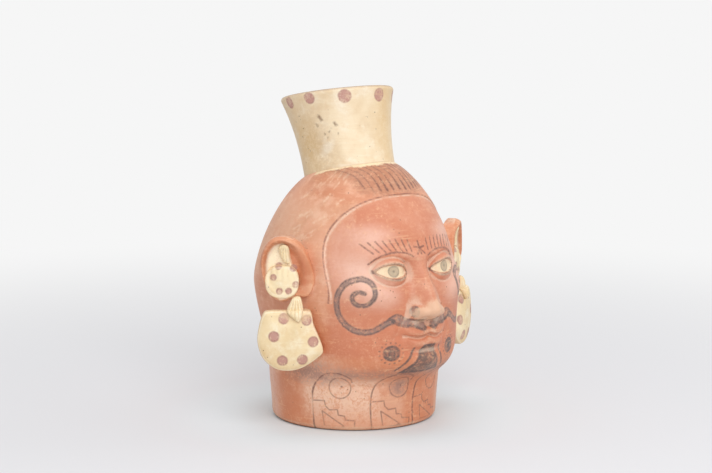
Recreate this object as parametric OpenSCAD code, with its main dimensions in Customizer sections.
// A portrait vessel of fired clay. Its hollow head is pressed in a front and a back mould,
// a flared spout leans back from the crown, and a bag of dotted cloth is tied through each
// ear, with a larger one hanging below it.
// Millimetres. The face looks towards -Y, up is +Z, and the origin is the middle of the foot.

/* [Foot and neck] */
// Radius of the foot, before its edge is rounded
foot_r = 64; // [61:0.5:66]
// Radius of the neck where it is fullest
neck_r = 66.5; // [64:0.5:69]
// Height at which the neck is fullest
neck_h = 44; // [38:1:48]
// Rounding of the outer edge of the foot
foot_round = 4.5; // [3:0.5:5]

/* [Head] */
// Height of the widest level of the head
wide_z = 106; // [102:1:110]
// Half the width of the head at its widest level
half_w = 73; // [70:0.5:76]
// Reach of the head forwards from the axis, before the features are raised
front_d = 85; // [82:0.5:88]
// Reach of the head backwards from the axis
back_d = 78; // [75:0.5:82]
// Squareness of the level section, where 2 is an ellipse
section_n = 2.25; // [2.1:0.05:2.5]
// Fullness of the crown, where 2 is an elliptic arch
crown_n = 1.57; // [1.5:0.01:1.7]
// Height of the point of the chin
chin_z = 46; // [45:0.5:47]
// Height of the hairline over the middle of the brow
hair_z = 177; // [174:0.5:178]
// Height of the crown under the spout, which sets the line of the eyes
crown_z = 201; // [199:0.5:203]
// Width across the face from temple to temple
face_w = 122; // [118:0.5:124]

/* [Walls] */
// Thickness of the pressed wall of the head and neck
wall = 6; // [5.5:0.25:7]
// Thickness of the slab that closes the bottom
slab_t = 8; // [6:0.5:10]
// Slip line left between two pieces that are luted together
slip = 0.2; // [0.15:0.05:0.3]
// Radius of the coils that back the seams inside
coil_r = 2.5; // [2:0.25:3]

/* [Spout] */
// Radius of the spout where it leaves the crown
spout_r = 35.5; // [34:0.5:37]
// Radius of the rim
rim_r = 44; // [42:0.5:46]
// Distance of the spout's lower ring behind the axis of the foot
spout_y = 5; // [4:0.5:6]
// Height of the middle of the spout's lower ring
spout_z = 191; // [189:0.5:193]
// Backward lean of the spout's lower ring
spout_lean = 15; // [13:0.5:16]
// Distance of the rim's middle behind the axis of the foot
rim_y = 21.5; // [19:0.5:23]
// Height of the middle of the rim
rim_z = 251; // [245:1:257]
// Backward lean of the rim
rim_lean = 10; // [9:0.5:13]
// Sharpness of the flare towards the rim
flare = 2.2; // [1.8:0.1:2.6]
// Thickness of the spout's wall
spout_wall = 5.5; // [5:0.25:6]

/* [Ears] */
// Direction of the root of each ear, in degrees from the front
ear_at = 56.5; // [55:0.5:58]
// Height of the middle of the ear
ear_z = 125; // [123:0.5:127]
// Angle that the face of each ear is turned from the front
ear_turn = 44; // [41:1:47]
// Height of the ear's folded rim over its face
ear_rim = 3.4; // [2.5:0.1:4]
// Depth of the hollow of the ear
ear_hollow = 3; // [2:0.25:3.5]
// Thickness of the ear where it stands away from the head
ear_t = 9; // [8:0.5:11]

/* [Bags in the ears] */
// Half the width of the bag in the ear
bag_w = 12.4; // [11.5:0.1:12.8]
// Half the height of the bag in the ear
bag_h = 12.2; // [11.5:0.1:12.5]
// Fullness of the bag over its edge
bag_t = 3.6; // [3:0.2:4.5]
// Thickness of the gathered cloth above the bag
gather_t = 3.2; // [2.6:0.2:3.6]

/* [Bags under the ears] */
// Direction of the inner corner of each hanging bag, in degrees from the front
hang_at = 54.5; // [53:0.5:56]
// Drop from the middle of the ear to the middle of the hanging bag
hang_drop = 55; // [54:0.5:56]
// Angle that the hanging bag is turned from the front
hang_turn = 35; // [33:1:37]
// Clearance of the bag's inner corner from the jaw
hang_out = 3; // [2.5:0.25:4]
// Fullness of the hanging bag over its edge
hang_t = 6; // [5:0.5:7]
// Thickness of the hanging bag behind its edge
hang_back = 7; // [6:0.5:8]
// Thickness of the knot over the hanging bag
knot_t = 4; // [3.4:0.2:4.6]

/* [Hidden] */

red_slip = "#c1663f";
cream_slip = "#e3cf9d";
raw_clay = "#b5714f";

// Levels of the face by the old rule of three equal thirds, with the eyes half way up the head
third = (hair_z - chin_z) / 3;
nose_z = chin_z + third;
brow_z = chin_z + 2 * third;
mouth_z = nose_z - third / 3;
eye_z = (chin_z + crown_z) / 2;
eye_w = face_w / 5;
tip_z = nose_z + 6.5;
root_z = eye_z + 7;
mouth_w = 19.5;
hair_step = 0.7;
nape_z = neck_h - 4;
jaw_z = chin_z - 11;
jaw_n = 4.75;
crown_q = 0.96;
seat_gap = slip + 0.2;
hang_z = ear_z - hang_drop;
low_z = chin_z - 12;
throat_z = chin_z + 12;
temple_z = hair_z - 31;
hollow_z = slab_t + 18;

// Outline of the ear, from its root outwards, about the middle height of the ear
ear_line = [[4.5, -8], [9, -19.5], [19, -21], [29.6, -24.6], [39, -18.5], [44.5, -5],
            [44.5, 10], [38, 21.5], [28, 24.6], [17, 19.5], [8.5, 7]];
ear_mid = [26, 1];
bag_mid = [28.6, -9.2];
gather_line = [[-3.2, 6.2], [-3.8, 0], [-4.2, -6], [-1.4, -6.4], [1.6, -4], [3.9, 2.4],
               [3.8, 6], [0.2, 8]];
gather_mid = [27, 10.6];
// Outline of the hanging bag about its middle height: mouth, skirt and round bottom
hang_line = [[8.8, 22.5], [7.2, 14], [3.4, 5], [0.4, -4], [2, -9], [14, -17.5], [25, -20.6],
             [36, -18.8], [45, -11], [49, 1], [48, 12], [45, 22], [41, 24.8], [27, 25],
             [12, 24.8]];
hang_mid = [25.5, 2];
knot_line = [[2.2, 8.4], [-2.6, 9], [-4.4, 4], [-4.8, -1], [-3.6, -6.2], [-1.4, -9.4],
             [2.6, -6.6], [6.4, -3.4], [7, -0.4], [5.2, 3.6]];
knot_mid = [20, 26.4];

function ease(x) = let (c = min(1, max(0, x))) c * c * (3 - 2 * c);
function clamp(x, a, b) = min(b, max(a, x));
function mix(a, b, t) = a + (b - a) * t;
function join(a, b, k) = (a + b + sqrt((a - b) * (a - b) + k * k)) / 2;
function hill(u, v, cu, cv, su, sv) =
    exp(-pow((u - cu) / su, 2) - pow((v - cv) / sv, 2));
function band(d, w) = exp(-pow(d / w, 2));
function dist(u, v, a, b) =
    let (d = b - a, t = clamp(((u - a.x) * d.x + (v - a.y) * d.y) / (d * d), 0, 1))
    norm([u, v] - a - t * d);

// The plain head: angles run from the front (0) to the back (180), and inset is a depth
// under the outer skin
function section_r(a, inset) =
    let (reach = (cos(a) > 0 ? front_d : back_d) - inset)
    pow(pow(abs(sin(a)) / (half_w - inset), section_n)
        + pow(abs(cos(a)) / reach, section_n), -1 / section_n);

function ring_r(a, r) =
    let (b = r * cos(spout_lean),
         p = pow(sin(a) / r, 2) + pow(cos(a) / b, 2),
         q = spout_y * cos(a) / (b * b))
    (sqrt(q * q + p * (1 - pow(spout_y / b, 2))) - q) / p;

function ring_z(a, r) =
    spout_z + tan(spout_lean) * (ring_r(a, r) * cos(a) + spout_y);

function front_part(a) = ease((cos(a) - 0.25) / 0.65);

function neck_at(z) = foot_r + (neck_r - foot_r) * ease(z / neck_h);

function foot_cut(z) =
    let (q = clamp(foot_round - z, 0, foot_round))
    foot_round - sqrt(foot_round * foot_round - q * q);

function dome(q, n) = 1 - pow(1 - pow(crown_q * q, n), 1 / n);

function upper_r(a, z, inset) =
    let (full = section_r(a, inset),
         top = ring_r(a, spout_r - inset),
         q = clamp((z - wide_z) / (ring_z(a, spout_r - inset) - wide_z), 0, 1),
         n = crown_n + 0.09 * cos(a))
    full - (full - top) * dome(q, n) / dome(1, n);

// Below the widest level the nape runs smoothly into the neck, and the jaw overhangs it
function lower_r(a, z, inset) =
    let (full = section_r(a, inset),
         neck = neck_at(z) - inset,
         nape = mix(neck, full, ease((z - nape_z) / (wide_z - nape_z))),
         s = clamp((wide_z - z) / (wide_z - jaw_z), 0, 0.9999),
         fall = 45 * ease((z - neck_h) / (wide_z - neck_h)),
         jaw = join(full * pow(1 - pow(s, jaw_n), 1 / jaw_n), neck - fall,
                    9 * ease((wide_z - z) / 30)))
    mix(nape, jaw, front_part(a)) - (inset == 0 ? foot_cut(z) : 0);

function head_r(a, z, inset = 0) =
    z >= wide_z ? upper_r(a, z, inset) : lower_r(a, z, inset);

// The face: u runs across it from the middle and v is the height
function forms(u, v) =
    2 * hill(u, v, 0, 156, 36, 18)
    - 2 * hill(u, v, 56, 136, 9, 14)
    - 5.5 * hill(u, v, eye_w, eye_z, 15.5, 9.5)
    + 3.2 * hill(u, v, 41, eye_z - 17, 17, 10)
    - 1.6 * hill(u, v, 45, 80, 13, 13)
    + 4.5 * hill(u, v, 0, mouth_z + 2, 25, 16)
    + 8 * hill(u, v, 0, chin_z + 10, 16, 11)
    + 2 * hill(u, v, 26, chin_z + 9, 16, 9);

function lid_t(u) = clamp(1 - pow((u - eye_w) / (eye_w / 2 + 0.6), 2), 0, 1);
function upper_lid(u) = eye_z + 0.06 * (u - eye_w) + 6.3 * pow(lid_t(u), 0.72);
function lower_lid(u) = eye_z + 0.06 * (u - eye_w) - 4.6 * pow(lid_t(u), 0.85);

function eyes(u, v) =
    let (ball = clamp(1 - pow((u - eye_w) / 14.2, 2) - pow((v - eye_z - 0.5) / 10.5, 2), 0, 1),
         near = ease((eye_w / 2 + 2.6 - abs(u - eye_w)) / 3),
         over = ease((eye_w / 2 + 4 - abs(u - eye_w)) / 6),
         open = ease((upper_lid(u) - v) / 2.4) * ease((v - lower_lid(u)) / 2.4))
    6.8 * pow(ball, 0.7)
    + 1.4 * band(v - upper_lid(u) - 0.9, 2.4) * near
    + 1.1 * band(v - lower_lid(u) + 0.8, 2.2) * near
    - 0.8 * open
    - 0.9 * band(v - upper_lid(u) - 4.8, 2) * over;

function brows(u, v) =
    let (arch = 2.5 * cos(clamp((u - 22) / 26, -1.5, 1.5) * 57.3) - 2.5)
    3.4 * hill(u, v - arch, 22, brow_z + 2.5, 20, 5.5)
    + 1.2 * hill(u, v, 0, brow_z + 1, 8, 7)
    - 4 * hill(u, v, 11.5, eye_z + 1, 5, 8);

function nose(u, v) =
    let (q = clamp((root_z - v) / (root_z - tip_z), 0, 1),
         ridge = 2.2 + 12.5 * pow(q, 1.25) * (1.25 - 0.25 * pow(q, 4)),
         under = sqrt(clamp(1 - pow(max(tip_z - v, 0) / 8.8, 2), 0, 1)),
         over = ease((root_z + 9 - v) / 12))
    ridge * exp(-pow(u / (5.6 + 4.2 * q), 2.3)) * under * over
    + 2 * hill(u, v, 0, tip_z + 0.5, 6.5, 6)
    + 6.3 * exp(-pow((u - 10.3) / 4.3, 2) - pow(abs(v - nose_z - 4.2) / 4.8, 2.4))
    - 1.2 * hill(u, v, 15.2, nose_z + 5, 1.8, 6)
    - 4.5 * hill(u, v, 5.4, nose_z - 0.6, 2.9, 1.9);

function mouth(u, v) =
    let (line = mouth_z + 0.9 * band(u, 3.5) - 0.7 * band(u - 9, 5) + 0.5 * ease((u - 12) / 8),
         full = clamp(1 - pow(u / mouth_w, 2), 0, 1),
         low = clamp(1 - pow(u / (mouth_w * 0.86), 2), 0, 1))
    2.9 * band(v - line - 3.6, 3.2) * pow(full, 0.7)
    - 0.8 * exp(-pow(u / 2.2, 2) - pow((v - line - 7.2) / 1.8, 2))
    + 3.2 * band(v - line + 4.4, 3.5) * pow(low, 0.75)
    - 2 * band(v - line, 2.3) * pow(full, 0.5)
    - 1.6 * hill(u, v, mouth_w + 0.5, mouth_z + 0.3, 3.6, 3)
    - 2.4 * hill(u, v, 0, mouth_z - 11.5, 14, 3.2)
    - hill(u, v, 0, nose_z - 6, 2.2, 5)
    + 0.7 * hill(u, v, 4, nose_z - 6, 2, 5)
    - 0.9 * band(dist(u, v, [16, nose_z + 3], [26, mouth_z - 1]), 2.2);

// The hair stands a little over the brow
function hair_edge(u, v) =
    let (low = wide_z + 6, half = face_w / 2 + 0.5,
         f = pow(pow(u / half, 2.5) + pow(max(v - low, 0) / (hair_z - low), 2.5), 0.4))
    (f - 1) * half;

function hair(a, u, v) =
    let (d = abs(a) < 90 ? hair_edge(u, v) : 60)
    hair_step * ease(d / 4 + 0.5) * ease((v - 92) / 22);

function skin(a, z) =
    let (r = head_r(a, z),
         u = abs(r * sin(a)),
         m = abs(a) < 64 ? ease((64 - abs(a)) / 16) : 0,
         rise = m > 0 ? m * (forms(u, z) + eyes(u, z) + brows(u, z) + nose(u, z) + mouth(u, z)) : 0,
         edge = r + hair(a, u, z))
    [edge * sin(a), -edge * cos(a) - rise, z];

// The inside follows the plain head and is pushed in behind the eyes
function lining(a, z) =
    let (r = head_r(a, z, wall), u = abs(r * sin(a)),
         push = abs(a) < 64 ? 6 * hill(u, z, 22, eye_z, 16, 12) : 0)
    [r * sin(a), -r * cos(a) + push, z];

// Heights of the rows of points, evenly spaced between the named levels
function rows(a, b, n) = [for (i = [0 : n - 1]) a + (b - a) * i / n];
function crown_rows(a, z0, r, n) =
    [for (i = [0 : n]) mix(z0, ring_z(a, r), sin(90 * i / n))];

function outer_levels(a, fine) =
    concat([0, foot_round * 0.15, foot_round * 0.5, foot_round, mix(foot_round, low_z, 0.5)],
           rows(low_z, throat_z, round(6 * fine)), rows(throat_z, temple_z, round(40 * fine)),
           crown_rows(a, temple_z, spout_r, round(13 * fine)));

function inner_levels(a) =
    concat([0, slab_t, hollow_z, neck_h], rows(throat_z, temple_z, 6),
           crown_rows(a, temple_z, spout_r - wall, 4));

// One closed loop of points in the half plane at angle a, out and up, then in and down
function loop_at(a, fine) =
    let (o = outer_levels(a, fine), i = inner_levels(a))
    concat([for (z = o) skin(a, z)], [for (k = [len(i) - 1 : -1 : 0]) lining(a, i[k])]);

// The flat end of a shell: triangles that join each outer level to the nearest inner one
function end_faces(o, i, m) =
    let (k = [for (z = o) len([for (j = [0 : len(i) - 2]) if ((i[j] + i[j + 1]) / 2 < z) j])])
    [for (p = [0 : len(o) - 2]) each concat(
        [[p, p + 1, m - 1 - k[p]]],
        [for (j = [k[p] : 1 : k[p + 1] - 1]) [p + 1, m - 2 - j, m - 1 - j]])];

// A shell from neighbouring loops, closed by a flat end at each side seam
module shell(angles, fine, shift) {
    loops = [for (a = angles) loop_at(a, fine)];
    n = len(loops);
    m = len(loops[0]);
    end = end_faces(outer_levels(90, fine), inner_levels(90), m);
    faces = concat(
        [for (j = [0 : n - 2], i = [0 : m - 1])
            [j * m + i, j * m + (i + 1) % m, (j + 1) * m + i]],
        [for (j = [0 : n - 2], i = [0 : m - 1])
            [j * m + (i + 1) % m, (j + 1) * m + (i + 1) % m, (j + 1) * m + i]],
        [for (f = end) [f[0], f[2], f[1]]],
        [for (f = end) [for (i = f) (n - 1) * m + i]]);
    translate([0, shift, 0])
        polyhedron(points = [for (l = loops, p = l) p], faces = faces, convexity = 6);
}

// A smooth closed curve through a few points
function curve(p, k) =
    let (n = len(p))
    [for (i = [0 : n - 1], s = [0 : k - 1])
        let (t = s / k, a = p[(i + n - 1) % n], b = p[i], c = p[(i + 1) % n], d = p[(i + 2) % n])
        0.5 * (2 * b + (c - a) * t + (2 * a - 5 * b + 4 * c - d) * t * t
               + (3 * b - a - 3 * c + d) * t * t * t)];

// A plane beside the head: u runs outwards from the root, v up, h towards the viewer
function place(root, turn, u, z, h) =
    [root.x - u * cos(turn) - h * sin(turn), root.y + u * sin(turn) - h * cos(turn), z];

function clear_of_head(p) =
    let (a = atan2(-p.x, -p.y))
    norm([p.x, p.y]) > head_r(a, p.z) + hair_step * ease((p.z - 92) / 22) + seat_gap + 0.2;

// The deepest back that still lies outside the head, found by halving
function back_of(root, turn, u, z, top, floor, k = 12) =
    k == 0 ? top :
    let (mid = (top + floor) / 2)
    clear_of_head(place(root, turn, u, z, mid))
        ? back_of(root, turn, u, z, mid, floor, k - 1)
        : back_of(root, turn, u, z, top, mid, k - 1);

function seat(root, turn, u, z, top, floor) =
    clear_of_head(place(root, turn, u, z, floor)) ? floor
        : back_of(root, turn, u, z, top, floor);

// A pressed pad: rings of front points from the middle out to the outline, then back points
module pad(line, mid, z0, root, turn, rings, front, back) {
    n = len(line);
    k = len(rings);
    function at(i, q) = mid + (line[i] - mid) * q;
    tops = [for (q = rings, i = [0 : n - 1])
        let (p = at(i, q)) place(root, turn, p.x, z0 + p.y, front(p.x, p.y, q))];
    unders = [for (j = [k - 1 : -2 : 0], i = [0 : n - 1])
        let (q = rings[j], p = at(i, q)) place(root, turn, p.x, z0 + p.y, back(p.x, p.y, q))];
    all = concat(tops, unders);
    b = len(all) / n;
    last = len(all);
    pts = concat(all, [place(root, turn, mid.x, z0 + mid.y, front(mid.x, mid.y, 0)),
                       place(root, turn, mid.x, z0 + mid.y, back(mid.x, mid.y, 0))]);
    faces = concat(
        [for (j = [0 : b - 2], i = [0 : n - 1]) [j * n + i, (j + 1) * n + i, j * n + (i + 1) % n]],
        [for (j = [0 : b - 2], i = [0 : n - 1])
            [j * n + (i + 1) % n, (j + 1) * n + i, (j + 1) * n + (i + 1) % n]],
        [for (i = [0 : n - 1]) [last, i, (i + 1) % n]],
        [for (i = [0 : n - 1]) [last + 1, (b - 1) * n + (i + 1) % n, (b - 1) * n + i]]);
    polyhedron(points = pts, faces = faces, convexity = 6);
}

ear_root = let (r = head_r(ear_at, ear_z) + 1) [-r * sin(ear_at), -r * cos(ear_at)];
hang_root = let (r = head_r(hang_at, hang_z) + hang_out)
    [-r * sin(hang_at), -r * cos(hang_at)];

// Height of the ear's face over its plane: hollow in the middle, folded at the rim, pressed
// lower where the bag lies over it, and running out into the head in front
function ear_front(u, v, q) =
    let (side = ease((u - 9) / 9), rim = ease((u - 13) / 12),
         fold = ear_rim * (0.4 + 0.6 * ease((v + 16) / 14)))
    1.3 + rim * (fold * band(q - 0.89, 0.085) - 1.2 * ease((q - 0.93) / 0.07))
    - side * ear_hollow * (1 - ease((q - 0.5) / 0.3));

function ear_back(u, v, q) =
    seat(ear_root, ear_turn, u, ear_z + v, -0.6,
         -ear_t - 8 * (1 - ease(u / 34)) + 4 * pow(q, 4));

module ear() {
    pad(curve(ear_line, 4), ear_mid, ear_z, ear_root, ear_turn,
        [0.25, 0.5, 0.65, 0.76, 0.83, 0.89, 0.95, 1],
        function (u, v, q) ear_front(u, v, q), function (u, v, q) ear_back(u, v, q));
}

// Position of a point of the ear between its middle (0) and its outline (1), and the bed
// that the cloth lies on
function ear_q(u, v) = norm([(u - ear_mid.x - 0.6) / 18.6, (v - ear_mid.y) / 22.4]);
function bag_bed(u, v) = ear_front(u, v, min(ear_q(u, v), 0.89)) + seat_gap;

bag_line = [for (i = [0 : 31])
    let (a = 360 * i / 32, c = cos(a), s = sin(a),
         r = pow(pow(abs(c), 2.6) + pow(abs(s), 2.6), -1 / 2.6))
    bag_mid + [bag_w * r * c, bag_h * r * s]];

module ear_bag() {
    top = ear_front(bag_mid.x, bag_mid.y, 0.3) + 1.6;
    pad(bag_line, bag_mid, ear_z, ear_root, ear_turn, [0.35, 0.6, 0.8, 0.92, 1],
        function (u, v, q) join(top + bag_t * sqrt(max(0, 1.02 - q * q)), bag_bed(u, v) + 0.8, 0.8),
        function (u, v, q) bag_bed(u, v) + 0.2);
}

// Gathered cloth: a low cushion with ribs that fan out from a point above it
function gathered(u, v, q, thick, rib) =
    thick * (0.45 + 0.55 * sqrt(max(0, 1 - pow(q, 3))))
    + 0.5 * cos(360 * atan2(u, 16 - v) / rib) * (1 - pow(q, 3));

module ear_gather() {
    line = [for (p = curve(gather_line, 5)) p + gather_mid];
    pad(line, gather_mid, ear_z, ear_root, ear_turn, [0.3, 0.6, 0.85, 1],
        function (u, v, q) bag_bed(u, v)
            + gathered(u - gather_mid.x, v - gather_mid.y, q, gather_t, 9),
        function (u, v, q) bag_bed(u, v));
}

function hang_front(q) = hang_t * sqrt(max(0, 1 - pow(q, 2.6))) - 0.5;

module hanging_bag() {
    pad(curve(hang_line, 4), hang_mid, hang_z, hang_root, hang_turn,
        [0.3, 0.5, 0.68, 0.82, 0.91, 0.97, 1],
        function (u, v, q) hang_front(q),
        function (u, v, q) seat(hang_root, hang_turn, u, hang_z + v, -1.8,
                                -hang_back - 9 * (1 - ease(u / 26)) + 3.2 * pow(q, 4)));
}

// The knot rests on the bag's shoulder and stands up in front of its mouth
function knot_bed(v) = slip + 0.5 + hang_front(clamp((v - hang_mid.y) / 23.6, 0, 1));

module bag_knot() {
    line = [for (p = curve(knot_line, 4)) p + knot_mid];
    pad(line, knot_mid, hang_z, hang_root, hang_turn, [0.3, 0.6, 0.85, 1],
        function (u, v, q) knot_bed(v)
            + gathered(u - knot_mid.x, v - knot_mid.y, q, knot_t, 10),
        function (u, v, q) knot_bed(v));
}

module left_side() { mirror([1, 0, 0]) children(); }

// The spout: rings whose middle, lean and radius pass evenly from the crown to the rim
function spout_ring(t, r, k, n) =
    let (lean = mix(spout_lean, rim_lean, t),
         a = 360 * k / n,
         x = r * cos(a),
         y = r * sin(a))
    [x, mix(spout_y, rim_y, t) + y * cos(lean), mix(spout_z, rim_z, t) - y * sin(lean)];

function spout_out(t) = spout_r + (rim_r - spout_r) * pow(t, flare);

module spout_body() {
    n = 54;
    lip = spout_wall / 2;
    rise = [0, 0.2, 0.4, 0.56, 0.7, 0.82, 0.92];
    up = norm([rim_y - spout_y, rim_z - spout_z]);
    end = 1 - lip / up;
    outside = [for (t = rise) [t * end, spout_out(t)]];
    edge = [for (a = [0 : 30 : 180]) [end + sin(a) * lip / up, spout_out(1) - lip + lip * cos(a)]];
    inside = [for (i = [len(rise) - 1 : -1 : 0]) outside[i] - [0, spout_wall]];
    profile = concat(outside, edge, inside);
    m = len(profile);
    faces = concat(
        [for (k = [0 : n - 1], i = [0 : m - 1])
            [k * m + i, k * m + (i + 1) % m, ((k + 1) % n) * m + i]],
        [for (k = [0 : n - 1], i = [0 : m - 1])
            [k * m + (i + 1) % m, ((k + 1) % n) * m + (i + 1) % m, ((k + 1) % n) * m + i]]);
    translate([0, sin(spout_lean) * slip, cos(spout_lean) * slip])
        polyhedron(points = [for (k = [0 : n - 1], p = profile) spout_ring(p.x, p.y, k, n)],
                   faces = faces, convexity = 6);
}

// A coil along the inside of the side seam
module side_coil() {
    zs = [for (i = [0 : 22]) slab_t + 10 + (spout_z - 22 - slab_t - 10) * i / 22];
    n = 10;
    m = len(zs);
    pts = [for (z = zs, k = [0 : n - 1])
        let (x = head_r(90, z, wall) - coil_r - seat_gap)
        [-x + coil_r * cos(360 * k / n), coil_r * sin(360 * k / n), z]];
    faces = concat(
        [for (j = [0 : m - 2], k = [0 : n - 1])
            [j * n + k, (j + 1) * n + k, j * n + (k + 1) % n]],
        [for (j = [0 : m - 2], k = [0 : n - 1])
            [j * n + (k + 1) % n, (j + 1) * n + k, (j + 1) * n + (k + 1) % n]],
        [[for (k = [0 : n - 1]) k]],
        [[for (k = [n - 1 : -1 : 0]) (m - 1) * n + k]]);
    polyhedron(points = pts, faces = faces, convexity = 4);
}

module front_shell() {
    side = [90, 83, 76, 69, 62, 56, 51, 47, 43, 40, 37, 34.5];
    angles = concat(-side, [for (i = [-17 : 17]) 1.9 * i],
                    [for (i = [len(side) - 1 : -1 : 0]) side[i]]);
    color(red_slip) shell(angles, 1, -slip / 2);
}

module back_shell() {
    color(red_slip) shell([for (a = [90 : 9 : 270]) a], 0.4, slip / 2);
}

// The inside of the neck is straight from the slab to hollow_z
function floor_r(z) =
    min(foot_r, mix(neck_at(slab_t), neck_at(hollow_z), (z - slab_t) / (hollow_z - slab_t)))
    - wall;

module base_slab() {
    color(raw_clay) cylinder(h = slab_t, r = floor_r(slab_t) - slip, $fn = 96);
}

module spout() {
    color(cream_slip) spout_body();
}

module right_ear() { color(red_slip) ear(); }
module left_ear() { color(red_slip) left_side() ear(); }
module right_ear_bag() { color(cream_slip) ear_bag(); }
module left_ear_bag() { color(cream_slip) left_side() ear_bag(); }
module right_ear_gather() { color(cream_slip) ear_gather(); }
module left_ear_gather() { color(cream_slip) left_side() ear_gather(); }
module right_hanging_bag() { color(cream_slip) hanging_bag(); }
module left_hanging_bag() { color(cream_slip) left_side() hanging_bag(); }
module right_bag_knot() { color(cream_slip) bag_knot(); }
module left_bag_knot() { color(cream_slip) left_side() bag_knot(); }
module right_seam_coil() { color(raw_clay) side_coil(); }
module left_seam_coil() { color(raw_clay) left_side() side_coil(); }

module floor_coil() {
    size = 2 * coil_r;
    r = floor_r(slab_t + slip + size) - seat_gap;
    color(raw_clay) translate([0, 0, slab_t + slip]) rotate_extrude($fn = 96)
        difference() {
            translate([r - size, 0]) square(size);
            translate([r - size, size]) circle(size - 0.6, $fn = 48);
        }
}

module spout_coil() {
    color(raw_clay) translate([0, spout_y, spout_z]) rotate([-spout_lean, 0, 0])
        rotate_extrude($fn = 96)
            translate([spout_r - wall - coil_r - seat_gap, 0]) circle(coil_r, $fn = 24);
}

front_shell();
back_shell();
base_slab();
spout();
right_ear();
left_ear();
right_ear_bag();
left_ear_bag();
right_ear_gather();
left_ear_gather();
right_hanging_bag();
left_hanging_bag();
right_bag_knot();
left_bag_knot();
right_seam_coil();
left_seam_coil();
floor_coil();
spout_coil();
